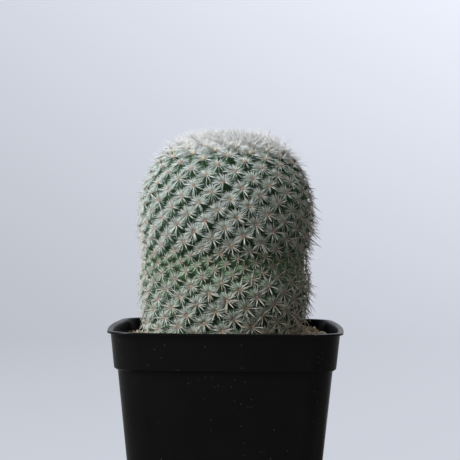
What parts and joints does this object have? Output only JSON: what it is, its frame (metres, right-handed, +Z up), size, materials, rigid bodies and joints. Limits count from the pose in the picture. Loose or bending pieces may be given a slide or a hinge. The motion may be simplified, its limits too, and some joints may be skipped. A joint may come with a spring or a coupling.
{
  "type": "potted mammillaria albilanata",
  "caption": "Short columnar cactus with spiral rows of tubercles and white spines, standing in gritty soil in a square black nursery pot with a lip and a deep collar.",
  "frame": {"origin": "centre of the underside of the pot, on the surface that it stands on", "axes": "+Z up along the stem; -Y towards the side of the pot seen in front; +X to the right of that view"},
  "size_m": [0.0828, 0.0828, 0.1412],
  "materials": {
    "pot_plastic": "satin black, moulded, slightly dusty",
    "potting_mix": "rough, gritty",
    "cactus_skin": "green skin under white spines"
  },
  "bodies": {
    "root": {"pot": "pot_plastic", "soil": "potting_mix", "stem": "cactus_skin"}
  },
  "joints": []
}
